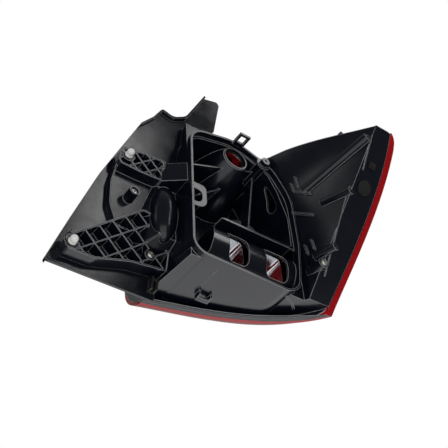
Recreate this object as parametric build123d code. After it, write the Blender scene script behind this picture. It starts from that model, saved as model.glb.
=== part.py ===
from build123d import *
import os
from math import atan2, degrees, radians, sin, tan

# Tail lamp cluster of a car: a red lens welded to a black housing whose back holds the open
# bulb recess, two ribbed arms with ball studs, and a screwed-on inboard trim panel.
# X points outboard, Y rearward through the lens, Z up, in millimetres. The origin is the seat
# of the lower ball stud. "Depth" is measured forwards from that seat, along -Y, which is the
# direction in which the housing leaves its mould.

# Walls and fits
WALL = 2.5
LENS_WALL = 3.0
RIB = 1.8
FIT = 0.15

# Housing datum: lower inboard corner of the bulb recess, seen from the lower ball stud
HOUSING_X = 120.0
HOUSING_Z = 5.0

# Bulb recess
RIM_DEPTH = 54.0
LEDGE_DEPTH = 46.0
FLOOR_DEPTH = -26.0
RECESS_LOW = -2.0
RECESS_HIGH = 200.0
RECESS_IN = -9.0
RECESS_OUT = 136.0
SHELF_HEIGHT = 70.0
BOX_BACK = -30.0
DOME_X = 101.0
DOME_Z = 108.0
DOME_R = 29.0
DOME_TOP = 12.0

# Lens and the body behind it
LENS_LOW = -12.0
LENS_HIGH = 204.0
LENS_IN = -17.0
LENS_IN_SLOPE = 0.12
LENS_SKIRT = 12.0
LENS_BULGE = 44.0
LENS_EDGE = 8.0
EDGE_SHARE = LENS_EDGE / LENS_SKIRT
LENS_OUT = 178.6
LENS_OUT_RISE = 50.0
LENS_OUT_FALL = 33.0
REAR_DEPTHS = (-46.0, -30.0, -10.0, 13.0)
REAR_MID_X = 52.0
REAR_CORNER_X = 107.0
TURN_X = 147.0
TURN_SHARE = 0.25
CORNER_SWELL = 0.3
TURN_SWELL_OUT = 0.52
TURN_SWELL_BACK = 0.9
FLANGE_THICK = 3.0
FLANGE_LIP = 1.5
BAND_LOW = 26.0
BAND_HIGH = 62.0
BAND_IN = -40.0
BAND_OUT = 130.0
BAND_DEPTH = 10.0
REFLEX_LOW = -7.0
REFLEX_HIGH = 20.0
REFLEX_THICK = 3.0
REFLEX_X = 30.0
REFLEX_W = 64.0
TOP_FALL_X = 100.0
TOP_MID_X = 143.0
TOP_MID_Z = 198.0
TOP_END_X = 170.0
TOP_END_Z = 181.5
CORNER_X = 190.0
CORNER_R = 14.2
LOBE_START = 140.5
LOBE_TAPER = 38.0

# Outboard strip: the forward edge that leans forward with height
STRIP_LOW_DEPTH = 46.0
STRIP_LEAN = 0.695
STRIP_IN = 142.0
STRIP_IN_SLOPE = 0.15

# Bulb openings in the ledge
BULB_X = 61.0
BULB_Z = 180.0
BULB_R = 15.0
BULB_RING = 1.5
BULB_RING_RISE = 2.0
LOWER_IN_X = 54.0
LOWER_OUT_X = 106.0
LOWER_Z = 33.0
LOWER_IN_W = 26.0
LOWER_OUT_W = 30.0
LOWER_H = 40.0
BARREL_R = 36.0
BARREL_DEPTH = 12.0
SLOT_DEPTH = 26.0
UPPER_KNEE = 30.5
UPPER_KNEE_DEPTH = 26.0
UPPER_FOOT = 44.0

# Bulb carrier's screw tower
TOWER_X = 99.0
TOWER_Z = 186.0
TOWER_R = 6.5
TOWER_DRAFT = 0.8
COLLAR_R = 9.0
TOWER_TOP = 60.0
TOWER_TIP_R = 5.5
PILOT_R = 2.1
PILOT_DEEP = 18.0
GUSSET_RISE = 44.0

# Loop for the bulb carrier's latch, on the recess's top wall
LOOP_X = 62.0
LOOP_W = 15.0
LOOP_REACH = 16.0
LOOP_BAR = 3.2

# Inboard panel and the two arms over it
PANEL_LEAN = 0.25
PANEL_DROP = 16.0
PANEL_THICK = 2.5
ARM_SKIN = 2.0
ARM_GAP = 0.5
UPPER_STUD_X = 43.0
UPPER_STUD_Z = 124.0
STUD_BOSS_R = 9.0
BALL_R = 4.2
BALL_RISE = 5.2
NECK_R = 2.8
COLLAR_THICK = 1.2
STUD_COLLAR_R = 4.6
SHANK_R = 2.6
SHANK_LONG = 9.0
LATTICE_PITCH = 17.0
LATTICE_TURN = 38.0
LATTICE_RIB = 1.3
STUD_BOSS_TALL = 22.0
SHOULDER_BACK = -15.0
SHOULDER_TOP = 21.0
UPPER_END = 86.0
GUSSET_LOW = 30.0
GUSSET_HIGH = 47.0
SWELL_X = 96.0
SWELL_Z = 72.0
SWELL_DEPTH = 17.0
SWELL_R = 16.0
SWELL_TALL = 40.0
PANEL_OUT = 107.0
PANEL_LIP = 5.0
PANEL_CLEAR = 0.4

# Fasteners and small fitted pieces
SCREW_HEAD_R = 4.4
SCREW_HEAD_H = 3.0
SCREW_R = 2.0
SCREW_LONG = 11.0
BREATHER_R = 9.0
BREATHER_THICK = 2.2
BREATHER_Z = 115.0
BREATHER_IN = 15.0
BREATHER_NECK = 2.6
CLIP_Z = 139.0
CLIP_IN = 14.0
CLIP_NECK = 2.2
SNAP_X = 101.0
SNAP_Z = -4.5
EDGE_CLIP_SHARE = 0.74
EDGE_CLIP_TALL = 4.2
SCREW_BOSS_R = 6.2
LOWER_SCREW_X = 88.0
LOWER_SCREW_Z = 20.0
UPPER_SCREW_X = 57.0
UPPER_SCREW_Z = 84.0
BOSS_X = 148.0
BOSS_Z = 31.0
BOSS_R = 7.0
BOSS_TOP = 77.0
SOCKET_X = 167.0
SOCKET_Z = 169.0
SOCKET_R = 6.5
SOCKET_BORE_R = 3.6
SOCKET_DEEP = 22.0
RIDGE_R = 5.0
FIN_TALL = 3.5
HOOK_X = 38.0
HOOK_W = 14.0
HOOK_DROP = 7.0
HOOK_DEPTH = -2.0

# Reflectors and bezel
BOWL_WALL = 1.6
BOWL_SWELL = 3.0
UPPER_MOUTH = 36.0
FUNNEL_SPREAD = 14.0
FUNNEL_H = 54.0
BEZEL_THICK = 2.0

os.makedirs("parts", exist_ok=True)

HOUSING = Pos(HOUSING_X, 0, HOUSING_Z)
FAR = 400.0


def rounded(corners):
    """Closed face through corners, each given as across, up and corner radius."""
    bends = []
    for i, (across, up, radius) in enumerate(corners):
        here = Vector(across, up)
        back = (Vector(*corners[i - 1][:2]) - here).normalized()
        ahead = (Vector(*corners[(i + 1) % len(corners)][:2]) - here).normalized()
        half = radians(back.get_angle(ahead) / 2)
        cut = radius / tan(half)
        middle = here + (back + ahead).normalized() * (radius / sin(half) - radius)
        bends.append((here + back * cut, middle, here + ahead * cut))
    edges = []
    for i, bend in enumerate(bends):
        if corners[i][2] > 0:
            edges.append(ThreePointArc(*bend))
        edges.append(Line(bend[2], bends[(i + 1) % len(bends)][0]))
    return make_face(edges)


def prism(face, start, end):
    """Face drawn across and up, extruded forwards between two depths."""
    return extrude(Plane.XZ.offset(start) * face, end - start)


def post(x, z, radius, start, end, tip=None):
    """Round post, or a cone when a tip radius is given, standing along the depth axis."""
    place = Plane.XZ.offset(start) * Pos(x, z)
    if tip is None:
        return place * Cylinder(radius, end - start, align=(Align.CENTER, Align.CENTER, Align.MIN))
    return place * Cone(radius, tip, end - start, align=(Align.CENTER, Align.CENTER, Align.MIN))


def bar(start, end, width):
    """Flat bar face between two points."""
    along = Vector(*end) - Vector(*start)
    centre = (Vector(*start) + Vector(*end)) / 2
    turn = degrees(atan2(along.Y, along.X))
    return Pos(centre.X, centre.Y) * Rot(0, 0, turn) * Rectangle(along.length, width)


# Heights and depths of the lens and body

def strip_depth(z):
    return STRIP_LOW_DEPTH + STRIP_LEAN * (z - LENS_LOW)


def height_share(z):
    return (z - LENS_LOW) / (LENS_HIGH - LENS_LOW)


def lens_out(z):
    share = height_share(z)
    return LENS_OUT + LENS_OUT_RISE * share - LENS_OUT_FALL * share ** 4


def strip_in(z):
    return STRIP_IN + STRIP_IN_SLOPE * (z - LENS_LOW)


def bulge(z):
    share = 2 * height_share(z) - 1
    return LENS_BULGE * (1 - share ** 4)


def rear_curve(z, inset, forward=0.0):
    """Points of the lens's outer face at height z, moved inwards; across and rearward."""
    swell = bulge(z)
    turn_depth = REAR_DEPTHS[3] + TURN_SHARE * (strip_depth(z) - STRIP_LOW_DEPTH) - TURN_SWELL_BACK * swell
    return [
        (LENS_IN + LENS_IN_SLOPE * (z - LENS_LOW), -(REAR_DEPTHS[0] - swell + inset)),
        (REAR_MID_X - 0.2 * inset, -(REAR_DEPTHS[1] - swell + 0.98 * inset)),
        (REAR_CORNER_X + CORNER_SWELL * swell - 0.35 * inset, -(REAR_DEPTHS[2] - swell + 0.94 * inset)),
        (TURN_X + TURN_SWELL_OUT * swell - 0.75 * inset, -(turn_depth + 0.66 * inset)),
        (lens_out(z) - EDGE_SHARE * inset, -(strip_depth(z) - forward)),
    ]


def lens_section(z, near, far, inboard=0.0, forward=0.0):
    """Crescent between two inward offsets of the lens face at height z."""
    outer = rear_curve(z, near, forward)
    inner = rear_curve(z, far, forward)
    outer[0] = (outer[0][0] + inboard, outer[0][1])
    inner[0] = (inner[0][0] + inboard, inner[0][1])
    edges = [
        Spline(*outer),
        Line(outer[-1], inner[-1]),
        Spline(*inner[::-1]),
        Line(inner[0], outer[0]),
    ]
    return Plane.XY.offset(z) * make_face(edges)


def back_x(z):
    """Outboard side of the recess, where the lobe's wall starts."""
    return LOBE_START - LOBE_TAPER * height_share(z) ** 6


def body_section(z, front, wall):
    """Housing body at height z, from an offset of the lens face to its back, walls moved in."""
    curve = rear_curve(z, front, wall * STRIP_LEAN)
    strip = -(strip_depth(z) - 1.2 * wall)
    inboard = curve[0][0] + wall
    curve[0] = (inboard, curve[0][1])
    curve[-1] = (lens_out(z) - LENS_EDGE - FIT - wall, strip)
    edges = [
        Spline(*curve),
        Line(curve[-1], (strip_in(z) + wall, strip)),
        Line((strip_in(z) + wall, strip), (back_x(z) + wall, -(LEDGE_DEPTH - wall))),
        Line((back_x(z) + wall, -(LEDGE_DEPTH - wall)), (RECESS_IN + wall, -(LEDGE_DEPTH - wall))),
        Line((RECESS_IN + wall, -(LEDGE_DEPTH - wall)), curve[0]),
    ]
    return Plane.XY.offset(z) * make_face(edges)


def levels(low, high, count=5):
    return [low + (high - low) * i / (count - 1) for i in range(count)]


def top_arc(drop):
    """Rounded top edge of the outboard lobe, lowered by a drop."""
    return ThreePointArc(
        (TOP_FALL_X, LENS_HIGH - drop), (TOP_MID_X, TOP_MID_Z - drop), (TOP_END_X, TOP_END_Z - drop))


def top_wedge(drop):
    """Space above the top edge and round the upper outboard corner, both moved in by a drop."""
    top = TOP_END_Z - drop
    side = top - CORNER_R
    corner = CORNER_X - drop
    reach = CORNER_R * sin(radians(45))
    face = make_face([
        top_arc(drop),
        Line((TOP_END_X, top), (corner, top)),
        ThreePointArc((corner, top), (corner + reach, side + reach), (corner + CORNER_R, side)),
        Line((corner + CORNER_R, side), (FAR, side)),
        Polyline((FAR, side), (FAR, FAR), (TOP_FALL_X, FAR), (TOP_FALL_X, LENS_HIGH - drop))])
    return prism(face, -FAR, FAR)


def lens_slice(near, far, low, high, inboard=0.0, forward=0.0, drop=0.0):
    """Curved plate between two inward offsets of the lens face and two heights."""
    sections = [lens_section(z, near, far, inboard, forward) for z in levels(low, high)]
    return loft(sections) - top_wedge(drop)


def body_block(front, wall, low, high, drop):
    """Housing volume behind an offset of the lens face, with its walls moved in."""
    sections = [body_section(z, front, wall) for z in levels(low, high)]
    return loft(sections) - top_wedge(drop)


def lean_slab(low, high):
    """Space between two planes that lean with the inboard panel."""
    def at(offset, z):
        return (-(offset + PANEL_LEAN * z), z)
    face = make_face(Polyline(at(low, -FAR), at(high, -FAR), at(high, FAR), at(low, FAR), at(low, -FAR)))
    return extrude(Plane.YZ.offset(-FAR) * face, 2 * FAR)


def strip_plane(x, z):
    """Working plane on the outboard strip, facing forwards and down, in the housing's frame."""
    return Plane(origin=(x, -strip_depth(z), z), x_dir=(1, 0, 0), z_dir=(0, -1, -STRIP_LEAN))


def disc(plane, radius, low, high):
    """Round plate between two heights over a working plane."""
    return plane * Pos(0, 0, low) * Cylinder(radius, high - low, align=(Align.CENTER, Align.CENTER, Align.MIN))


# Lens: a red dish with a clear band moulded in, and a reflex reflector behind it
lens_dish = lens_slice(0, LENS_SKIRT, LENS_LOW, LENS_HIGH)
lens_dish -= lens_slice(LENS_WALL, LENS_SKIRT + 20, LENS_LOW + LENS_WALL, LENS_HIGH - LENS_WALL,
                        LENS_WALL, LENS_EDGE, LENS_WALL)
band_space = Pos(0, 0, (BAND_LOW + BAND_HIGH) / 2) * Box(2 * FAR, 2 * FAR, BAND_HIGH - BAND_LOW)
band_space -= lens_slice(LENS_WALL + FIT, LENS_SKIRT + 20, LENS_LOW, LENS_HIGH, LENS_WALL + FIT) & band_space
band_reach = prism(Pos((BAND_IN + BAND_OUT) / 2, 0) * Rectangle(BAND_OUT - BAND_IN, FAR), -FAR, BAND_DEPTH)
clear_band = lens_dish & band_space & band_reach
outer_lens = lens_dish - clear_band
reflex = lens_slice(LENS_WALL + FIT, LENS_WALL + REFLEX_THICK, REFLEX_LOW, REFLEX_HIGH)
reflex_place = Pos(REFLEX_X, (REFLEX_LOW + REFLEX_HIGH) / 2)
reflex_face = reflex_place * RectangleRounded(REFLEX_W, REFLEX_HIGH - REFLEX_LOW, 4)
reflex_reflector = reflex & prism(reflex_face, -FAR, FAR)

# Housing: body, weld flange and recess box, hollowed from the lens side
recess_face = rounded([
    (RECESS_IN, RECESS_LOW, 16),
    (RECESS_OUT - 8, RECESS_LOW - 4, 24),
    (RECESS_OUT + 1, SHELF_HEIGHT, 80),
    (RECESS_OUT, 146, 60),
    (RECESS_OUT - 23, RECESS_HIGH - 16, 30),
    (60, RECESS_HIGH + 3, 60),
    (RECESS_IN + 3, RECESS_HIGH - 14, 24),
])
well_face = rounded([
    (RECESS_IN + 3, 10, 8),
    (16, 10, 8),
    (22, 45, 20),
    (32, SHELF_HEIGHT, 14),
    (RECESS_OUT - 3, SHELF_HEIGHT, 5),
    (RECESS_OUT - 2, 118, 30),
    (RECESS_OUT - 14, 158, 25),
    (RECESS_OUT - 27, RECESS_HIGH - 17, 22),
    (60, RECESS_HIGH, 60),
    (RECESS_IN + 6, RECESS_HIGH - 17, 20),
])
rear_space = lens_slice(-60, LENS_SKIRT + FLANGE_THICK / 2, LENS_LOW, LENS_HIGH, -2 * FLANGE_LIP)
housing = body_block(LENS_SKIRT / 2, 0, RECESS_LOW - WALL, LENS_HIGH - FLANGE_LIP, FLANGE_LIP)
housing += prism(offset(recess_face, WALL), BOX_BACK, RIM_DEPTH)
housing -= rear_space
flange = lens_slice(LENS_SKIRT / 2, LENS_SKIRT + FLANGE_THICK, LENS_LOW + FIT, LENS_HIGH - FIT,
                    -FLANGE_LIP, FLANGE_THICK, FIT)
housing += flange - lens_slice(-60, LENS_SKIRT + FIT, LENS_LOW, LENS_HIGH, -2 * FIT)
cavity = body_block(0, WALL, RECESS_LOW, LENS_HIGH - FLANGE_LIP - WALL, FLANGE_LIP + WALL)
well_walls = prism(offset(well_face, WALL), FLOOR_DEPTH - WALL, RIM_DEPTH)
rim_walls = prism(offset(recess_face, WALL), LEDGE_DEPTH - WALL, RIM_DEPTH)
housing -= cavity - well_walls - rim_walls
housing -= prism(recess_face, LEDGE_DEPTH, RIM_DEPTH + WALL)
housing -= prism(well_face, FLOOR_DEPTH, LEDGE_DEPTH + WALL)

# Round-backed box of the two lower lamps
block_low = 0.0
block_face = recess_face & Pos(RECESS_OUT / 2, SHELF_HEIGHT - WALL - FAR / 2) * Rectangle(FAR, FAR)
block_face -= well_face
barrel_axis = Plane.YZ * Pos(-BARREL_DEPTH, LOWER_Z)
barrel = barrel_axis * Cylinder(BARREL_R, FAR)
barrel_hollow = barrel_axis * Cylinder(BARREL_R - WALL, FAR)
barrel_low = prism(block_face, block_low - 1, BARREL_DEPTH)
lower_box = prism(block_face, block_low, RIM_DEPTH) & (barrel + barrel_low)
lower_box -= prism(offset(block_face, -WALL), block_low - 1, RIM_DEPTH) & (barrel_hollow + barrel_low)
housing -= prism(block_face, block_low, RIM_DEPTH)
housing += lower_box

# Ledges: raised ring of the upper bulb opening, and the slotted ledge on the inboard wall
well_reach = prism(offset(well_face, WALL / 2), FLOOR_DEPTH - WALL / 2, RIM_DEPTH)
bulb_ring = post(BULB_X, BULB_Z, BULB_R + BULB_RING, LEDGE_DEPTH - WALL, LEDGE_DEPTH + BULB_RING_RISE)


def turned(outline, x, z):
    """Solid of revolution about a line along the depth axis; outline as radius and depth."""
    return Pos(x, 0, z) * Rot(0, 0, 180) * revolve(Plane.XY * outline, Axis.Y)


def dome_outline(neck, top, knee, knee_depth, foot):
    return make_face([
        Line((0, top), (neck, top)),
        Bezier((neck, top), (knee, knee_depth), (foot, FLOOR_DEPTH)),
        Polyline((foot, FLOOR_DEPTH), (foot, FLOOR_DEPTH - 2 * WALL), (0, FLOOR_DEPTH - 2 * WALL), (0, top))])


dome_skin = WALL + 0.5
dome_outer = dome_outline(BULB_R + 2, LEDGE_DEPTH, UPPER_KNEE, UPPER_KNEE_DEPTH, UPPER_FOOT)
dome_inner = dome_outline(
    BULB_R, LEDGE_DEPTH - WALL, UPPER_KNEE - dome_skin, UPPER_KNEE_DEPTH - WALL / 2, UPPER_FOOT - dome_skin)
upper_dome = turned(dome_outer, BULB_X, BULB_Z)
upper_hollow = turned(dome_inner, BULB_X, BULB_Z)
slot_low = SLOT_DEPTH - WALL
slot_outer = rounded([(RECESS_IN, 92, 0), (30, 96, 14), (30, 132, 6), (RECESS_IN, 132, 0)])
slot_inner = rounded([(RECESS_IN, 99, 0), (24, 102, 10), (24, 122, 6), (RECESS_IN, 122, 0)])
slot_ledge = prism(slot_outer - slot_inner, slot_low, SLOT_DEPTH)

# Screw tower for the bulb carrier, with the ribs that steady it
tower = [
    post(TOWER_X, TOWER_Z, TOWER_R + TOWER_DRAFT, FLOOR_DEPTH - WALL, RIM_DEPTH, TOWER_R),
    post(TOWER_X, TOWER_Z, COLLAR_R, RIM_DEPTH - 2, RIM_DEPTH),
    post(TOWER_X, TOWER_Z, TOWER_TIP_R, RIM_DEPTH - 1, TOWER_TOP),
]
tower_foot = (TOWER_X, TOWER_Z)
tower_ribs = prism(bar(tower_foot, (RECESS_IN, 96), RIB), FLOOR_DEPTH - WALL, FLOOR_DEPTH + GUSSET_RISE)
tower_ribs += prism(bar(tower_foot, (RECESS_IN, 140), RIB), FLOOR_DEPTH - WALL, LEDGE_DEPTH - 8)
tower_ribs += prism(bar(tower_foot, (80, SHELF_HEIGHT - 1), RIB), DOME_TOP + 4, LEDGE_DEPTH - 14)

# Latch loop that reaches forwards from the recess's top wall
loop_z = RECESS_HIGH + 1
loop = prism(Pos(LOOP_X, loop_z) * Rectangle(LOOP_W, LOOP_BAR), RIM_DEPTH - 3, RIM_DEPTH + LOOP_REACH)
loop -= prism(Pos(LOOP_X, loop_z) * Rectangle(LOOP_W - 2 * LOOP_BAR, 2 * LOOP_BAR),
              RIM_DEPTH + LOOP_BAR, RIM_DEPTH + LOOP_REACH - LOOP_BAR)

# Centre dome's flange depth and ball radius, from its foot radius and its height
DOME_FLANGE = FLOOR_DEPTH - WALL - FIT
DOME_RISE = DOME_TOP - DOME_FLANGE
DOME_BALL = (DOME_R ** 2 + DOME_RISE ** 2) / (2 * DOME_RISE)

# Openings: upper bulb, two lower reflectors, the side window and the centre dome
window_face = Pos(LOWER_OUT_X, LOWER_Z) * RectangleRounded(LOWER_OUT_W, LOWER_H, 7)
inboard_face = Pos(LOWER_IN_X, LOWER_Z) * RectangleRounded(LOWER_IN_W, LOWER_H, 7)
drop_face = make_hull([CenterArc((-30, 146), 8, 0, 360), CenterArc((-34, 168), 3, 0, 360)])
LOWER_TOP = BARREL_DEPTH + BARREL_R / 2
openings = [
    post(BULB_X, BULB_Z, BULB_R, LEDGE_DEPTH - 2 * WALL, RIM_DEPTH),
    prism(inboard_face, LOWER_TOP, RIM_DEPTH),
    prism(window_face, LOWER_TOP, RIM_DEPTH),
    upper_hollow & prism(well_face, FLOOR_DEPTH - 3 * WALL, RIM_DEPTH),
    extrude(Plane.YZ.offset(RECESS_OUT - 26) * drop_face, 40),
    post(TOWER_X, TOWER_Z, PILOT_R, TOWER_TOP - PILOT_DEEP, TOWER_TOP + 1),
    post(DOME_X, DOME_Z, DOME_BALL + 2 * FIT, FLOOR_DEPTH - 2 * WALL, FLOOR_DEPTH + 1),
]
housing += [part & well_reach for part in (upper_dome, slot_ledge, tower_ribs)]
housing += [bulb_ring, loop] + tower
housing -= openings


# Outboard lobe: half-round ridges on the concave wall, stiffening ribs and the screw boss

def lobe_depth(x, z):
    """Depth of the lobe's wall at a point across and up."""
    share = (x - back_x(z)) / (strip_in(z) - back_x(z))
    return LEDGE_DEPTH + share * (strip_depth(z) - LEDGE_DEPTH)


def wall_point(x, z):
    return Vector(x, -lobe_depth(x, z), z)


def ridge(start, end, radius):
    """Half-sunk round ridge along the lobe's wall between two points across and up."""
    begin = wall_point(*start)
    along = wall_point(*end) - begin
    return disc(Plane(origin=begin, z_dir=along), radius, 0, along.length)


def fin(start, end):
    """Thin rib on the lobe's wall between two points across and up."""
    begin = wall_point(*start)
    along = wall_point(*end) - begin
    lift = (wall_point(start[0] + 1, start[1]) - begin).cross(along)
    return Plane(origin=begin + along / 2, x_dir=along, z_dir=lift) * Box(along.length, RIB, 2 * FIN_TALL)


socket_start = (RECESS_OUT + 6, 145)
socket_end = (SOCKET_X, SOCKET_Z)
socket_mouth = wall_point(*socket_end)
socket_axis = socket_mouth - wall_point(*socket_start)
socket_plane = Plane(origin=socket_mouth, z_dir=socket_axis)
breather_plane = strip_plane(strip_in(BREATHER_Z) + BREATHER_IN, BREATHER_Z)
clip_plane = strip_plane(strip_in(CLIP_Z) + CLIP_IN, CLIP_Z)
lobe_pieces = [
    ridge(socket_start, socket_end, SOCKET_R),
    ridge((150, 114), (160, 108), RIDGE_R),
    ridge((146, 44.5), (153, 44.2), RIDGE_R),
    post(BOSS_X, BOSS_Z, BOSS_R, BOSS_TOP - 22, BOSS_TOP, BOSS_R - 0.6),
    strip_plane(strip_in(60), 60) * Pos(2, 0, 0.4) * Box(1.2, 96, 1.6),
    strip_plane(strip_in(150), 150) * Pos(2, 0, 0.4) * Box(1.2, 44, 1.6),
]
FINS = (
    ((138.4, 150.4), (145.7, 136.3)), ((139.4, 124.2), (147.1, 104.3)),
    ((134.6, 163.1), (137.9, 151.1)), ((135.2, 168.6), (139.2, 154.1)),
    ((143.5, 67.3), (144.1, 53.8)), ((145.8, 69.8), (146.4, 55.0)))
lobe_pieces += [fin(start, end) for start, end in FINS]

# Bottom wall: ribs along the draw, an arched rib and the cord hook
wall_z = RECESS_LOW - WALL
arch_face = make_face([
    ThreePointArc((65, -40), (104, -47), (140, -29)),
    Line((140, -29), (138.6, -27)),
    ThreePointArc((138.6, -27), (104, -44.6), (65, -37.6)),
    Line((65, -37.6), (65, -40))])
bottom_pieces = [
    prism(Pos(28, wall_z) * Rectangle(RIB, 2.4), 4, 38),
    prism(Pos(65, wall_z) * Rectangle(RIB, 3.2), 2, RIM_DEPTH - 2),
    extrude(Plane.XY.offset(wall_z - 1.5) * arch_face, 2.5),
    prism(Pos(HOOK_X, wall_z - HOOK_DROP) * Rectangle(HOOK_W + RIB, RIB), HOOK_DEPTH - 5, HOOK_DEPTH + 1),
]
for x in (HOOK_X - HOOK_W / 2, HOOK_X + HOOK_W / 2):
    leg = Pos(x, wall_z - HOOK_DROP / 2 + 0.5) * Rectangle(RIB, HOOK_DROP + 1)
    bottom_pieces.append(prism(leg, HOOK_DEPTH - 5, HOOK_DEPTH + 5))
housing += lobe_pieces + bottom_pieces
housing -= [
    disc(socket_plane, SOCKET_BORE_R, -SOCKET_DEEP, 2),
    post(BOSS_X, BOSS_Z, SCREW_HEAD_R + 4 * FIT, BOSS_TOP, BOSS_TOP + 3 * SCREW_HEAD_H),
    post(BOSS_X, BOSS_Z, SCREW_R + FIT, BOSS_TOP - 30, BOSS_TOP + 1),
    disc(breather_plane, BREATHER_NECK + FIT, -12, 1),
    disc(clip_plane, CLIP_NECK + FIT, -12, 1),
]
housing = HOUSING * housing

# Arms: ribbed lattices that lean over the inboard panel and carry the ball studs
ARM_BACK = -PANEL_DROP + ARM_GAP
ARM_END = HOUSING_X + RECESS_IN - WALL / 2
UPPER_SEAT = PANEL_LEAN * UPPER_STUD_Z
LOWER_SCREW_SEAT = PANEL_LEAN * LOWER_SCREW_Z - 2
UPPER_SCREW_SEAT = PANEL_LEAN * UPPER_SCREW_Z - 3
REACH = FAR / 4


def leaning(face, low, high):
    """Prism along the depth axis, kept between two planes that lean with the panel."""
    return prism(face, -REACH, REACH) & lean_slab(low, high)


def lattice_arm(face, pitch):
    """Arm with a thin back skin, an edge wall and crossed ribs inside its outline."""
    box = face.bounding_box()
    centre = box.center()
    count = int(box.diagonal / pitch / 2)
    lines = []
    for turn in (LATTICE_TURN, -LATTICE_TURN):
        for i in range(-count, count + 1):
            line = Rot(0, 0, turn) * Pos(0, i * pitch) * Rectangle(2 * box.diagonal, LATTICE_RIB)
            lines.append(Pos(centre.X, centre.Y) * line)
    ribs = (face - offset(face, -RIB)) + ((Sketch() + lines) & face)
    return [leaning(ribs, ARM_BACK, 0), leaning(face, ARM_BACK, ARM_BACK + ARM_SKIN)]


def stud_boss(x, z, seat):
    """Six-sided boss under a ball stud."""
    face = Pos(x, z) * RegularPolygon(STUD_BOSS_R, 6)
    boss = prism(fillet(face.vertices(), 2), seat - STUD_BOSS_TALL, seat)
    return boss & lean_slab(ARM_BACK, FAR)


lower_face = rounded([
    (-7, -8, 5), (-6, 6, 6), (4, 14, 6), (72, 68, 8),
    (ARM_END, 62, 0), (ARM_END, 8, 0), (66, 3, 20), (27, -8, 12)])
upper_face = rounded([
    (UPPER_STUD_X - 10, UPPER_STUD_Z - 13, 6), (UPPER_STUD_X - 10, UPPER_STUD_Z + 8, 8),
    (UPPER_STUD_X + 20, UPPER_STUD_Z + 12, 8), (UPPER_END + 3, UPPER_STUD_Z + 13, 0),
    (UPPER_END + 3, UPPER_STUD_Z - 13, 0), (UPPER_STUD_X + 18, UPPER_STUD_Z - 14, 8)])
web_face = rounded([
    (47, 42, 0), (34, 66, 20), (31, 92, 20), (35, UPPER_STUD_Z - 2, 0),
    (ARM_END, UPPER_STUD_Z - 2, 0), (ARM_END, 42, 0)])
web_edge = web_face - offset(web_face, -RIB)

shoulder_low = rounded([
    (66, 22, 6), (ARM_END, 22, 0), (ARM_END, 146, 0), (90, 146, 8), (64, 120, 8), (60, 76, 10)])
shoulder_high = rounded([
    (88, 36, 4), (ARM_END, 36, 0), (ARM_END, 132, 0), (102, 132, 5), (88, 108, 6), (84, 70, 8)])


def shoulder(inset):
    """Raised body beside the recess, narrowing forwards; inset for its hollow, or grown."""
    low = shoulder_low
    high = shoulder_high
    if inset:
        low = offset(low, -inset)
        high = offset(high, -inset)
    back = SHOULDER_BACK - abs(inset)
    return loft([Plane.XZ.offset(back) * low, Plane.XZ.offset(SHOULDER_TOP - inset) * high])


def screw_boss(x, z, seat):
    return post(x, z, SCREW_BOSS_R, seat - 30, seat) & lean_slab(ARM_BACK, FAR)


pegs = [
    (-4, 9, 0),
    (UPPER_STUD_X + 2, UPPER_STUD_Z + 9, UPPER_SEAT),
    (UPPER_STUD_X + 20, UPPER_STUD_Z + 9, UPPER_SEAT),
]
swell_face = Ellipse(SWELL_R, SWELL_TALL) & Pos(SWELL_R, 0) * Rectangle(2 * SWELL_R, 2 * SWELL_TALL)
swell = Pos(SWELL_X, -SWELL_DEPTH, SWELL_Z) * revolve(Plane.XZ * swell_face, Axis.Z)
swell &= Pos(ARM_END - FAR / 2, 0, 0) * Box(FAR, FAR, FAR)
gusset_low = UPPER_STUD_Z - 16
gusset_high = UPPER_STUD_Z + 12


def gusset(inset):
    """Sloped piece from the upper arm's end up to the recess box; inset for its hollow."""
    back = SHOULDER_TOP - 1.5 - inset
    face = make_face(Polyline(
        (UPPER_END + inset, -back), (UPPER_END + inset, inset - GUSSET_LOW),
        (ARM_END, inset - GUSSET_HIGH), (ARM_END, -back), (UPPER_END + inset, -back)))
    return extrude(Plane.XY.offset(gusset_low + inset) * face, gusset_high - gusset_low - 2 * inset)


screw_ring = post(UPPER_SCREW_X, UPPER_SCREW_Z, SCREW_BOSS_R, UPPER_SCREW_SEAT - 1, UPPER_SCREW_SEAT + 5)
screw_ring -= post(UPPER_SCREW_X, UPPER_SCREW_Z, SCREW_HEAD_R + FIT, UPPER_SCREW_SEAT, UPPER_SCREW_SEAT + 6)
arm_pieces = lattice_arm(lower_face, LATTICE_PITCH) + lattice_arm(upper_face, LATTICE_PITCH * 0.7) + [
    leaning(web_face, ARM_BACK, ARM_BACK + ARM_SKIN),
    leaning(web_edge, ARM_BACK, ARM_BACK + 8),
    stud_boss(0, 0, 0),
    stud_boss(UPPER_STUD_X, UPPER_STUD_Z, UPPER_SEAT),
    shoulder(0) - shoulder(WALL),
    swell,
    gusset(0) - gusset(WALL),
    screw_boss(LOWER_SCREW_X, LOWER_SCREW_Z, LOWER_SCREW_SEAT),
    screw_boss(UPPER_SCREW_X, UPPER_SCREW_Z, UPPER_SCREW_SEAT),
    screw_ring,
] + [post(x, z, 1.6, seat - 6, seat + 5) for x, z, seat in pegs]
housing += arm_pieces
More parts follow.
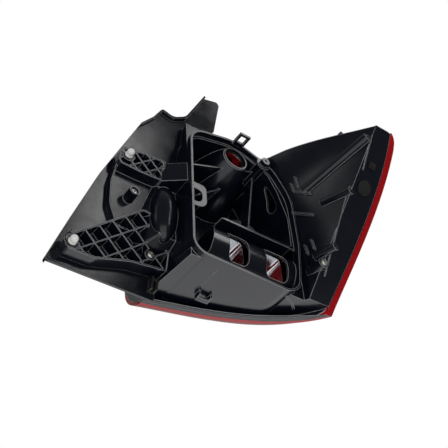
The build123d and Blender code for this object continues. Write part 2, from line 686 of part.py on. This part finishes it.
housing -= [
    post(0, 0, STUD_COLLAR_R + 1, 0, BALL_RISE),
    post(UPPER_STUD_X, UPPER_STUD_Z, STUD_COLLAR_R + 1, UPPER_SEAT, UPPER_SEAT + BALL_RISE),
    post(LOWER_SCREW_X, LOWER_SCREW_Z, SCREW_BOSS_R, LOWER_SCREW_SEAT, LOWER_SCREW_SEAT + 2 * SCREW_HEAD_H),
    post(0, 0, SHANK_R + FIT / 2, -SHANK_LONG - 1, 1),
    post(UPPER_STUD_X, UPPER_STUD_Z, SHANK_R + FIT / 2, UPPER_SEAT - SHANK_LONG - 1, UPPER_SEAT + 1),
    post(LOWER_SCREW_X, LOWER_SCREW_Z, SCREW_R + FIT, LOWER_SCREW_SEAT - 30, LOWER_SCREW_SEAT + 1),
    post(UPPER_SCREW_X, UPPER_SCREW_Z, SCREW_R + FIT, UPPER_SCREW_SEAT - 30, UPPER_SCREW_SEAT + 1),
]

# Inboard panel with its top strip, scoop and tab
panel_edge = [(-19, -16, 3), (0, 42, 60), (22, 106, 60), (56, 184, 10)]
panel_top = [(70, 200, 8), (80, 217, 5), (96, 213, 14), (112, 222, 16), (134, 266, 4)]
panel_face = rounded(panel_edge + panel_top + [
    (159, 272, 4), (155, 228, 6), (150, 190, 0),
    (130, 190, 0), (130, 30, 0), (PANEL_OUT, 30, 0), (PANEL_OUT, -18, 3)])
box_clear = HOUSING * prism(offset(recess_face, WALL + PANEL_CLEAR), -FAR / 4, FAR / 4)
panel = leaning(panel_face, -PANEL_DROP - PANEL_THICK, -PANEL_DROP)
panel_back = -PANEL_DROP - PANEL_THICK
panel_lip = Sketch()
for start, end in zip(panel_edge, panel_edge[1:]):
    panel_lip += bar(start[:2], end[:2], 2 * PANEL_THICK)
top_lip = Sketch()
for start, end in zip(panel_edge[-1:] + panel_top, panel_top):
    top_lip += bar(start[:2], end[:2], 2 * PANEL_THICK)
screw_places = ((LOWER_SCREW_X, LOWER_SCREW_Z), (UPPER_SCREW_X, UPPER_SCREW_Z))
panel += [
    leaning(bar((155, 226), (158, 268), PANEL_THICK), panel_back - 8, -PANEL_DROP),
    leaning(panel_lip & panel_face, panel_back - 4, -PANEL_DROP),
    leaning(top_lip & panel_face, panel_back, -PANEL_DROP + PANEL_LIP),
]
panel += [leaning(Pos(x, z) * Circle(SCREW_BOSS_R - 1), panel_back - 6, -PANEL_DROP) for x, z in screw_places]
body_clear = HOUSING * body_block(LENS_SKIRT, -PANEL_CLEAR, RECESS_LOW - WALL - PANEL_CLEAR, LENS_HIGH, 0)
panel -= [shoulder(-PANEL_CLEAR), box_clear, body_clear]
panel -= [post(x, z, SCREW_R + FIT, -REACH, REACH) for x, z in screw_places]


def ball_stud(x, z, seat):
    """Nylon ball stud pressed into its boss."""
    stud = post(x, z, STUD_COLLAR_R, seat, seat + COLLAR_THICK)
    stud += post(x, z, NECK_R, seat, seat + BALL_RISE)
    stud += Pos(x, -(seat + BALL_RISE), z) * Sphere(BALL_R)
    stud += post(x, z, SHANK_R, seat - SHANK_LONG, seat)
    return stud


def pan_screw(plane):
    """Cross-recessed pan head screw whose head rests on a working plane."""
    head = disc(plane, SCREW_HEAD_R, 0, SCREW_HEAD_H)
    top = head.edges().filter_by(GeomType.CIRCLE).sort_by(lambda e: plane.to_local_coords(e.center()).Z)[-1]
    head = fillet(top, SCREW_HEAD_H * 0.6)
    for turn in (0, 90):
        head -= plane * Rot(0, 0, turn) * Pos(0, 0, SCREW_HEAD_H) * Box(SCREW_HEAD_R, 1.1, 2.6)
    return head + disc(plane, SCREW_R, -SCREW_LONG, 0.5)


def seat_plane(x, z, seat):
    return Plane(origin=(x, -seat, z), x_dir=(1, 0, 0), z_dir=(0, -1, 0))


# Fitted pieces on the outboard strip
breather = disc(breather_plane, BREATHER_R, FIT, BREATHER_THICK) + disc(breather_plane, BREATHER_NECK, -4, 1)
push_clip = clip_plane * Pos(0, 0, FIT + 1.2) * Box(9, 7, 2.4)
push_clip += clip_plane * Pos(0, 0, 3.4) * Box(5, 3, 2)
push_clip += disc(clip_plane, CLIP_NECK, -6, 1)

# Reflector bowls, trimmed where they meet the bezel behind the lens
BEZEL_IN = LENS_SKIRT + FLANGE_THICK + 1
BEZEL_LOW = RECESS_LOW + FIT
BEZEL_HIGH = LENS_HIGH - FLANGE_LIP - WALL - FIT


def bezel_slice(near, far):
    return lens_slice(near, far, BEZEL_LOW, BEZEL_HIGH, WALL, 8, FLANGE_LIP + WALL + FIT)


bezel_front = bezel_slice(-60, BEZEL_IN + BEZEL_THICK + FIT)
BOWL_TOP = LEDGE_DEPTH - 2 * WALL - FIT
FUNNEL_TOP = LOWER_TOP + 6
BOWL_END = -70.0


def bowl(x, z, neck, mouth, top):
    """Turned reflector bowl from a bulb opening to the bezel."""
    mid = (neck + mouth) / 2 + BOWL_SWELL
    half = (top + BOWL_END) / 2
    outline = make_face([
        Line((neck, top), (neck + BOWL_WALL, top)),
        ThreePointArc((neck + BOWL_WALL, top), (mid + BOWL_WALL, half), (mouth + BOWL_WALL, BOWL_END)),
        Line((mouth + BOWL_WALL, BOWL_END), (mouth, BOWL_END)),
        ThreePointArc((mouth, BOWL_END), (mid, half), (neck, top))])
    return turned(outline, x, z)


upper_reflector = bowl(BULB_X, BULB_Z, BULB_R, UPPER_MOUTH, BOWL_TOP)
upper_reflector &= prism(offset(well_face, -FIT), -FAR, FAR)
upper_reflector -= bezel_front


def funnel(x, width, grow, top, end):
    """Rectangular reflector funnel behind an opening of the lower box."""
    near = Pos(x, LOWER_Z) * RectangleRounded(width + grow, LOWER_H + grow, 7)
    far = Pos(x, LOWER_Z) * RectangleRounded(width + FUNNEL_SPREAD + grow, FUNNEL_H + grow, 9)
    return loft([Plane.XZ.offset(end) * far, Plane.XZ.offset(top) * near])


def lower_reflector(x, width):
    """Hollow funnel, trimmed by the bezel and by the recess's well."""
    shell = funnel(x, width, 2 * BOWL_WALL, FUNNEL_TOP, BOWL_END)
    shell -= funnel(x, width, 0, FUNNEL_TOP + 0.5, BOWL_END - 0.5)
    return shell - prism(offset(well_face, 2 * WALL + FIT), FLOOR_DEPTH - 2 * WALL, RIM_DEPTH) - bezel_front


lower_in_reflector = lower_reflector(LOWER_IN_X, LOWER_IN_W)
lower_out_reflector = lower_reflector(LOWER_OUT_X, LOWER_OUT_W)

# Centre dome: part of a hollow ball, with its flange under the recess floor
dome_place = Pos(DOME_X, DOME_BALL - DOME_TOP, DOME_Z)
dome_span = post(DOME_X, DOME_Z, FAR / 4, DOME_FLANGE - 2, DOME_TOP + 1)
centre_reflector = dome_place * Sphere(DOME_BALL) & dome_span
centre_reflector += post(DOME_X, DOME_Z, DOME_R + 5, DOME_FLANGE - 2, DOME_FLANGE)
centre_reflector -= dome_place * Sphere(DOME_BALL - BOWL_WALL)

# Bezel: a curved plate that closes the lamp between the reflector mouths
bezel = bezel_slice(BEZEL_IN, BEZEL_IN + BEZEL_THICK)
bezel &= body_block(0, WALL + 2 * FIT, RECESS_LOW, LENS_HIGH, 0)
bezel -= prism(offset(well_face, WALL + FIT), FLOOR_DEPTH - WALL - 12, RIM_DEPTH)
bezel -= post(BULB_X, BULB_Z, UPPER_MOUTH, -FAR, FAR)
for x, width in ((LOWER_IN_X, LOWER_IN_W), (LOWER_OUT_X, LOWER_OUT_W)):
    bezel -= prism(Pos(x, LOWER_Z) * RectangleRounded(width + FUNNEL_SPREAD, FUNNEL_H, 9), -FAR, FAR)
bezel -= post(DOME_X, DOME_Z, DOME_R + 2, -FAR, FAR)
bezel -= post(TOWER_X, TOWER_Z, TOWER_R + TOWER_DRAFT + 2 * FIT, -FAR, FAR)
bezel = bezel.solids().sort_by(SortBy.VOLUME)[-1]

# Clips on the panel joint and on the lobe's top edge
snap_low = -PANEL_DROP + FIT
snap_clip = leaning(Pos(SNAP_X, SNAP_Z) * Rectangle(9, 14), snap_low, snap_low + 2.4)
for side in (-3, 3):
    snap_clip += leaning(Pos(SNAP_X + side, SNAP_Z) * Rectangle(2, 14), snap_low, snap_low + 9.4)
snap_clip += leaning(Pos(SNAP_X, SNAP_Z + 4) * Rectangle(8, 2), snap_low + 5.4, snap_low + 9.4)

edge_spot = top_arc(FLANGE_LIP) @ EDGE_CLIP_SHARE
edge_way = top_arc(FLANGE_LIP) % EDGE_CLIP_SHARE
edge_lift = EDGE_CLIP_TALL / 2 + FIT
edge_place = Pos(edge_spot.X - edge_way.Y * edge_lift, -(lobe_depth(edge_spot.X, edge_spot.Y) - 8),
                 edge_spot.Y + edge_way.X * edge_lift)
edge_clip = edge_place * Rot(0, degrees(atan2(-edge_way.Y, edge_way.X)), 0) * Box(7, 12, EDGE_CLIP_TALL)

NODES = {
    "outer_lens": HOUSING * outer_lens,
    "clear_band": HOUSING * clear_band,
    "reflex_reflector": HOUSING * reflex_reflector,
    "housing": housing,
    "inboard_panel": panel,
    "ball_stud_lower": ball_stud(0, 0, 0),
    "ball_stud_upper": ball_stud(UPPER_STUD_X, UPPER_STUD_Z, UPPER_SEAT),
    "panel_screw_lower": pan_screw(seat_plane(LOWER_SCREW_X, LOWER_SCREW_Z, LOWER_SCREW_SEAT)),
    "panel_screw_upper": pan_screw(seat_plane(UPPER_SCREW_X, UPPER_SCREW_Z, UPPER_SCREW_SEAT)),
    "reflector_screw": HOUSING * pan_screw(seat_plane(BOSS_X, BOSS_Z, BOSS_TOP)),
    "breather_cap": HOUSING * breather,
    "push_clip": HOUSING * push_clip,
    "upper_reflector": HOUSING * upper_reflector,
    "lower_inboard_reflector": HOUSING * lower_in_reflector,
    "lower_outboard_reflector": HOUSING * lower_out_reflector,
    "centre_reflector": HOUSING * centre_reflector,
    "bezel": HOUSING * bezel,
    "snap_clip": snap_clip,
    "edge_clip": HOUSING * edge_clip,
}
for name, shape in NODES.items():
    export_step(shape, f"parts/{name}.step")
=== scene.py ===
import bpy
import math
import numpy as np
from mathutils import Matrix, Vector


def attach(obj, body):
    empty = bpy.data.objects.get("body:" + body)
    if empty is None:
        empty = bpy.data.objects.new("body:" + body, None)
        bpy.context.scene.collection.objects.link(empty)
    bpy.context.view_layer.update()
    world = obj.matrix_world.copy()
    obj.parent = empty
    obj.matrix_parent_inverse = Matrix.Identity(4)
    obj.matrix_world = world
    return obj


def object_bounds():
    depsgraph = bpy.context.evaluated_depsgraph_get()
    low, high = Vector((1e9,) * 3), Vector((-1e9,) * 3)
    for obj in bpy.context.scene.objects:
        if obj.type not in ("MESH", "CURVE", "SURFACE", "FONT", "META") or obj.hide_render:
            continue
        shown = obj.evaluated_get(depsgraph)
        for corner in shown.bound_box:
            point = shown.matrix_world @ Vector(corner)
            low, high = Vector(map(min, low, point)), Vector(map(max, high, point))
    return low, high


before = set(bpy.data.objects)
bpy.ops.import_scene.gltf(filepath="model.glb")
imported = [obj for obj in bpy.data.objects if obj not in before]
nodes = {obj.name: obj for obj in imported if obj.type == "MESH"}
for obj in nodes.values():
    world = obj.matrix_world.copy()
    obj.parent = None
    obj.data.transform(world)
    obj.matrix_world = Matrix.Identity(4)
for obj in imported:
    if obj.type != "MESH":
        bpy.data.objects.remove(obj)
cad_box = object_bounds()
lamp_middle = (cad_box[0] + cad_box[1]) / 2
MM = 0.001

# Camera: seen from below and inboard, as the lamp's back is pictured
CAMERA_PLACE = Vector((-0.2462, -0.5519, -0.5425))
CAMERA_AZIMUTH = math.radians(-38.5)
CAMERA_ELEVATION = math.radians(-43.2)
CAMERA_ROLL = math.radians(-4.6)
CAMERA_LENS = 65.0

# Stage: the camera looks up at the lamp, so the floor lies well under it and the soft lights
FLOOR_HEIGHT = -1.9
FLOOR_SIZE = 9.0
PALE = (0.86, 0.86, 0.86, 1.0)
WHITE = (1.0, 1.0, 1.0, 1.0)

# Studio as gloss sees it: a grey backdrop along the camera's view, dim behind the camera
VIEW_AHEAD = (0.454, 0.571, 0.684)
STUDIO_FROM = 0.10
STUDIO_TO = 0.65
STUDIO_DIM = 0.10
STUDIO_AHEAD = 0.28
STUDIO_LEVEL = 0.35

# Soft lights: name, way from the lamp, distance, width, height and radiance
SOFT_BOXES = (
    ("under", (0.45, 0.50, -0.74), 0.95, 0.9, 0.9, 1.2),
    ("front_strip", (0.24, -0.92, 0.31), 1.1, 0.12, 0.4, 4.0),
    ("rim", (0.45, -0.57, 0.68), 1.2, 0.42, 0.42, 3.2),
    ("high_left", (-0.85, 0.15, 0.50), 1.2, 0.5, 0.5, 0.8),
    ("key", (-0.46, -0.66, -0.60), 1.5, 2.2, 2.2, 0.9),
)

# Moulded skin: how far the noise lifts the surface, and how turned an edge counts as an arris
# that gets the painted edge highlight
GRAIN_LIFT = 0.0003
ARRIS_SAMPLES = 6
ARRIS_NONE = 0.995
ARRIS_FULL = 0.80
MOTTLE_LOW = 0.3
MOTTLE_HIGH = 0.7
ACRYLIC_IOR = 1.49


# Node groups shared by the finishes

def new_group(name, inputs, outputs):
    """Shader node group with number inputs and typed outputs."""
    tree = bpy.data.node_groups.new(name, "ShaderNodeTree")
    for label, value in inputs:
        socket = tree.interface.new_socket(label, in_out="INPUT", socket_type="NodeSocketFloat")
        socket.default_value = value
    for label, kind in outputs:
        tree.interface.new_socket(label, in_out="OUTPUT", socket_type=kind)
    return tree, tree.nodes.new("NodeGroupInput"), tree.nodes.new("NodeGroupOutput")


def make_moulded_skin():
    """Fine mould grain with rounded arrises: a normal, an arris mask for the painted edge
    highlight and a slow mottle.
    """
    tree, given, result = new_group(
        "moulded_skin",
        [("Grain Scale", 2600.0), ("Grain Depth", 0.05),
         ("Arris Radius", 0.0008), ("Mottle Scale", 60.0)],
        [("Normal", "NodeSocketVector"), ("Arris", "NodeSocketFloat"),
         ("Mottle", "NodeSocketFloat")])
    link = tree.links.new
    place = tree.nodes.new("ShaderNodeTexCoord")
    grain = tree.nodes.new("ShaderNodeTexNoise")
    grain.inputs["Detail"].default_value = 3.0
    mottle = tree.nodes.new("ShaderNodeTexNoise")
    mottle.inputs["Detail"].default_value = 4.0
    mottle.inputs["Roughness"].default_value = 0.6
    arris = tree.nodes.new("ShaderNodeBevel")
    arris.samples = ARRIS_SAMPLES
    bump = tree.nodes.new("ShaderNodeBump")
    bump.inputs["Distance"].default_value = GRAIN_LIFT
    surface = tree.nodes.new("ShaderNodeNewGeometry")
    facing = tree.nodes.new("ShaderNodeVectorMath")
    facing.operation = "DOT_PRODUCT"
    turned = tree.nodes.new("ShaderNodeMapRange")
    turned.inputs["From Min"].default_value = ARRIS_NONE
    turned.inputs["From Max"].default_value = ARRIS_FULL
    link(place.outputs["Object"], grain.inputs["Vector"])
    link(place.outputs["Object"], mottle.inputs["Vector"])
    link(given.outputs["Grain Scale"], grain.inputs["Scale"])
    link(given.outputs["Mottle Scale"], mottle.inputs["Scale"])
    link(given.outputs["Arris Radius"], arris.inputs["Radius"])
    link(given.outputs["Grain Depth"], bump.inputs["Strength"])
    link(grain.outputs["Fac"], bump.inputs["Height"])
    link(arris.outputs["Normal"], bump.inputs["Normal"])
    link(arris.outputs["Normal"], facing.inputs[0])
    link(surface.outputs["Normal"], facing.inputs[1])
    link(facing.outputs["Value"], turned.inputs["Value"])
    link(bump.outputs["Normal"], result.inputs["Normal"])
    link(turned.outputs["Result"], result.inputs["Arris"])
    link(mottle.outputs["Fac"], result.inputs["Mottle"])
    return tree


moulded_skin = make_moulded_skin()


def new_material(name):
    """Material with its tree and its shader."""
    material = bpy.data.materials.new(name)
    material.use_nodes = True
    return material, material.node_tree, material.node_tree.nodes["Principled BSDF"]


def moulded(name, colour, painted_highlight_colour, roughness, rough_spread, grain_depth, arris_radius,
            specular):
    """Moulded plastic: mottled gloss, fine grain and arrises tinted paler as a painted edge
    highlight.
    """
    material, tree, skin = new_material(name)
    link = tree.links.new
    grain = tree.nodes.new("ShaderNodeGroup")
    grain.node_tree = moulded_skin
    grain.inputs["Grain Depth"].default_value = grain_depth
    grain.inputs["Arris Radius"].default_value = arris_radius
    # Painted highlight: the colour turns pale along edges, standing in for light caught on
    # rounded rims
    painted_highlight_tint = tree.nodes.new("ShaderNodeMix")
    painted_highlight_tint.data_type = "RGBA"
    painted_highlight_tint.inputs["A"].default_value = (*colour, 1.0)
    painted_highlight_tint.inputs["B"].default_value = (*painted_highlight_colour, 1.0)
    gloss = tree.nodes.new("ShaderNodeMapRange")
    gloss.inputs["From Min"].default_value = MOTTLE_LOW
    gloss.inputs["From Max"].default_value = MOTTLE_HIGH
    gloss.inputs["To Min"].default_value = roughness - rough_spread
    gloss.inputs["To Max"].default_value = roughness + rough_spread
    skin.inputs["Specular IOR Level"].default_value = specular
    link(grain.outputs["Arris"], painted_highlight_tint.inputs["Factor"])
    link(painted_highlight_tint.outputs["Result"], skin.inputs["Base Color"])
    link(grain.outputs["Mottle"], gloss.inputs["Value"])
    link(gloss.outputs["Result"], skin.inputs["Roughness"])
    link(grain.outputs["Normal"], skin.inputs["Normal"])
    return material


def metal(name, colour, roughness, grain_depth):
    """Plated or metallised surface with a faint uneven gloss."""
    material, tree, skin = new_material(name)
    link = tree.links.new
    grain = tree.nodes.new("ShaderNodeGroup")
    grain.node_tree = moulded_skin
    grain.inputs["Grain Depth"].default_value = grain_depth
    grain.inputs["Arris Radius"].default_value = 0.0005
    gloss = tree.nodes.new("ShaderNodeMapRange")
    gloss.inputs["To Min"].default_value = roughness * 0.6
    gloss.inputs["To Max"].default_value = roughness * 1.4
    skin.inputs["Base Color"].default_value = (*colour, 1.0)
    skin.inputs["Metallic"].default_value = 1.0
    link(grain.outputs["Mottle"], gloss.inputs["Value"])
    link(gloss.outputs["Result"], skin.inputs["Roughness"])
    link(grain.outputs["Normal"], skin.inputs["Normal"])
    return material


def acrylic(name, colour, roughness, clear, specular):
    """Clear coloured acrylic, polished, with the mould's faint waviness."""
    material, tree, skin = new_material(name)
    link = tree.links.new
    grain = tree.nodes.new("ShaderNodeGroup")
    grain.node_tree = moulded_skin
    grain.inputs["Grain Scale"].default_value = 90.0
    grain.inputs["Grain Depth"].default_value = 0.02
    grain.inputs["Arris Radius"].default_value = 0.0008
    gloss = tree.nodes.new("ShaderNodeMapRange")
    gloss.inputs["To Min"].default_value = roughness * 0.5
    gloss.inputs["To Max"].default_value = roughness * 1.5
    skin.inputs["Base Color"].default_value = (*colour, 1.0)
    skin.inputs["Transmission Weight"].default_value = clear
    skin.inputs["IOR"].default_value = ACRYLIC_IOR
    skin.inputs["Specular IOR Level"].default_value = specular
    link(grain.outputs["Mottle"], gloss.inputs["Value"])
    link(gloss.outputs["Result"], skin.inputs["Roughness"])
    link(grain.outputs["Normal"], skin.inputs["Normal"])
    return material


# Each material's second colour is a painted edge highlight, paler than the plastic itself
housing_black = moulded(
    "housing_black", colour=(0.0030, 0.0042, 0.0090), painted_highlight_colour=(0.54, 0.545, 0.56),
    roughness=0.20, rough_spread=0.05, grain_depth=0.04, arris_radius=0.0010, specular=0.5)
panel_black = moulded(
    "panel_black", colour=(0.0035, 0.0045, 0.0080), painted_highlight_colour=(0.26, 0.265, 0.28),
    roughness=0.15, rough_spread=0.04, grain_depth=0.03, arris_radius=0.0008, specular=0.5)
clip_black = moulded(
    "clip_black", colour=(0.012, 0.012, 0.013), painted_highlight_colour=(0.05, 0.05, 0.05),
    roughness=0.42, rough_spread=0.06, grain_depth=0.08, arris_radius=0.0006, specular=0.4)
nylon_white = moulded(
    "nylon_white", colour=(0.80, 0.80, 0.78), painted_highlight_colour=(0.86, 0.86, 0.85),
    roughness=0.36, rough_spread=0.08, grain_depth=0.04, arris_radius=0.0005, specular=0.5)
screw_zinc = metal("screw_zinc", (0.62, 0.61, 0.58), roughness=0.34, grain_depth=0.12)
reflector_bright = metal("reflector_bright", (0.80, 0.81, 0.83), roughness=0.12, grain_depth=0.02)
dome_satin = metal("dome_satin", (0.82, 0.83, 0.85), roughness=0.38, grain_depth=0.02)
lens_red = acrylic("lens_red", (0.50, 0.005, 0.009), roughness=0.08, clear=0.35, specular=0.3)
lens_clear = acrylic("lens_clear", (0.93, 0.94, 0.95), roughness=0.04, clear=1.0, specular=0.5)

FINISHES = {
    "housing": housing_black,
    "inboard_panel": panel_black,
    "outer_lens": lens_red,
    "clear_band": lens_clear,
    "reflex_reflector": lens_red,
    "ball_stud_lower": nylon_white,
    "ball_stud_upper": nylon_white,
    "panel_screw_lower": screw_zinc,
    "panel_screw_upper": screw_zinc,
    "reflector_screw": screw_zinc,
    "breather_cap": clip_black,
    "push_clip": clip_black,
    "snap_clip": clip_black,
    "edge_clip": clip_black,
    "upper_reflector": reflector_bright,
    "lower_inboard_reflector": reflector_bright,
    "lower_outboard_reflector": reflector_bright,
    "centre_reflector": dome_satin,
    "bezel": reflector_bright,
}
for name, finish in FINISHES.items():
    nodes[name].data.materials.clear()
    nodes[name].data.materials.append(finish)


# Weld lip: the black bead where the housing's flange laps the lens along its lower edge

HOUSING_X = 120.0
LIP_FACE = -7.0
LIP_STEPS = 120

# Bead's section, from the lens's edge inwards: inset and drop in millimetres
LIP_PROFILE = (
    (5.0, 0.0), (5.3, 0.7), (6.4, 1.1), (8.5, 0.9), (10.5, 1.2), (12.2, 0.8), (12.6, 0.0))

# Lens's lower edge: across and forward in millimetres, and how each moves per millimetre of inset
LENS_EDGE = (
    (-17.0, -46.0, 0.0, 1.0),
    (52.0, -30.0, -0.20, 0.98),
    (107.0, -10.0, -0.35, 0.94),
    (147.0, 13.0, -0.75, 0.66),
    (178.6, 46.0, -0.667, 0.0),
)


def edge_points(inset):
    """Lens's lower edge moved inwards, as across and forward in millimetres."""
    return [(x + turn_x * inset, t + turn_t * inset) for x, t, turn_x, turn_t in LENS_EDGE]


def smooth_curve(points, steps):
    """Smooth curve through all the points, by distance along them."""
    points = np.array(points)
    span = np.linalg.norm(np.diff(points, axis=0), axis=1)
    knots = np.concatenate([[0.0], np.cumsum(span)])
    degree = len(points) - 1
    fit = [np.polynomial.Polynomial.fit(knots, points[:, i], degree) for i in range(2)]
    at = np.linspace(0.0, knots[-1], steps)
    return np.stack([part(at) for part in fit], axis=1)


def make_weld_lip():
    """Rounded bead under the lens's lower edge, swept along its curve."""
    rows = []
    for inset, drop in LIP_PROFILE:
        line = smooth_curve(edge_points(inset), LIP_STEPS)
        height = (LIP_FACE - drop) * MM
        rows.append([Vector(((HOUSING_X + x) * MM, -t * MM, height)) for x, t in line])
    width = len(rows)
    points = [rows[j][i] for i in range(LIP_STEPS) for j in range(width)]
    faces = []
    for i in range(LIP_STEPS - 1):
        for j in range(width):
            k = (j + 1) % width
            here, ahead = i * width, (i + 1) * width
            faces.append((here + j, ahead + j, ahead + k, here + k))
    faces.append(tuple(range(width)))
    faces.append(tuple((LIP_STEPS - 1) * width + j for j in reversed(range(width))))
    mesh = bpy.data.meshes.new("weld_lip")
    mesh.from_pydata(points, [], faces)
    mesh.update()
    lip = bpy.data.objects.new("weld_lip", mesh)
    bpy.context.scene.collection.objects.link(lip)
    mesh.materials.append(housing_black)
    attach(lip, "root")


make_weld_lip()


# Stage, light and camera

def make_floor():
    """Pale floor that takes the lamp's shadow."""
    half = FLOOR_SIZE / 2
    mesh = bpy.data.meshes.new("floor")
    mesh.from_pydata(
        [(-half, -half, FLOOR_HEIGHT), (half, -half, FLOOR_HEIGHT),
         (half, half, FLOOR_HEIGHT), (-half, half, FLOOR_HEIGHT)], [], [(0, 1, 2, 3)])
    floor = bpy.data.objects.new("floor", mesh)
    bpy.context.scene.collection.objects.link(floor)
    material, tree, skin = new_material("floor_pale")
    skin.inputs["Base Color"].default_value = PALE
    skin.inputs["Roughness"].default_value = 0.9
    mesh.materials.append(material)


def make_world():
    """White to the eye and through glass; in gloss, grey ahead and dim behind."""
    world = bpy.data.worlds.new("studio")
    bpy.context.scene.world = world
    world.use_nodes = True
    tree = world.node_tree
    link = tree.links.new
    backdrop = tree.nodes["Background"]
    path = tree.nodes.new("ShaderNodeLightPath")
    place = tree.nodes.new("ShaderNodeTexCoord")
    ahead = tree.nodes.new("ShaderNodeVectorMath")
    ahead.operation = "DOT_PRODUCT"
    ahead.inputs[1].default_value = VIEW_AHEAD
    gloss = tree.nodes.new("ShaderNodeMapRange")
    gloss.interpolation_type = "SMOOTHSTEP"
    gloss.inputs["From Min"].default_value = STUDIO_FROM
    gloss.inputs["From Max"].default_value = STUDIO_TO
    gloss.inputs["To Min"].default_value = STUDIO_DIM
    gloss.inputs["To Max"].default_value = STUDIO_AHEAD
    lit = tree.nodes.new("ShaderNodeMix")
    lit.inputs["A"].default_value = STUDIO_LEVEL
    seen = tree.nodes.new("ShaderNodeMath")
    seen.operation = "MAXIMUM"
    level = tree.nodes.new("ShaderNodeMix")
    level.inputs["B"].default_value = 1.0
    backdrop.inputs["Color"].default_value = WHITE
    link(place.outputs["Generated"], ahead.inputs[0])
    link(ahead.outputs["Value"], gloss.inputs["Value"])
    link(path.outputs["Is Glossy Ray"], lit.inputs["Factor"])
    link(gloss.outputs["Result"], lit.inputs["B"])
    link(path.outputs["Is Camera Ray"], seen.inputs[0])
    link(path.outputs["Is Transmission Ray"], seen.inputs[1])
    link(seen.outputs["Value"], level.inputs["Factor"])
    link(lit.outputs["Result"], level.inputs["A"])
    link(level.outputs["Result"], backdrop.inputs["Strength"])


def soft_box(name, way, distance, width, height, radiance):
    """Rectangular soft light seen from the lamp's middle along a way, at a distance."""
    place = lamp_middle + Vector(way).normalized() * distance
    light = bpy.data.lights.new(name, "AREA")
    light.shape = "RECTANGLE"
    light.size = width
    light.size_y = height
    light.energy = radiance * math.pi * width * height
    lamp = bpy.data.objects.new(name, light)
    bpy.context.scene.collection.objects.link(lamp)
    lamp.location = place
    lamp.rotation_mode = "QUATERNION"
    lamp.rotation_quaternion = (lamp_middle - place).to_track_quat("-Z", "Y")


def make_camera():
    """Camera turned by azimuth, elevation and roll."""
    back = Vector((
        math.sin(CAMERA_AZIMUTH) * math.cos(CAMERA_ELEVATION),
        -math.cos(CAMERA_AZIMUTH) * math.cos(CAMERA_ELEVATION),
        math.sin(CAMERA_ELEVATION)))
    across = (-back).cross(Vector((0, 0, 1))).normalized()
    up = across.cross(-back)
    c = math.cos(CAMERA_ROLL)
    s = math.sin(CAMERA_ROLL)
    right = across * c + up * s
    upright = up * c - across * s
    turn = Matrix((right, upright, back)).transposed()
    data = bpy.data.cameras.new("camera")
    data.lens = CAMERA_LENS
    camera = bpy.data.objects.new("camera", data)
    bpy.context.scene.collection.objects.link(camera)
    camera.matrix_world = Matrix.Translation(CAMERA_PLACE) @ turn.to_4x4()
    bpy.context.scene.camera = camera


make_floor()
make_world()
for box in SOFT_BOXES:
    soft_box(*box)
make_camera()
bpy.context.scene.view_settings.view_transform = "Standard"
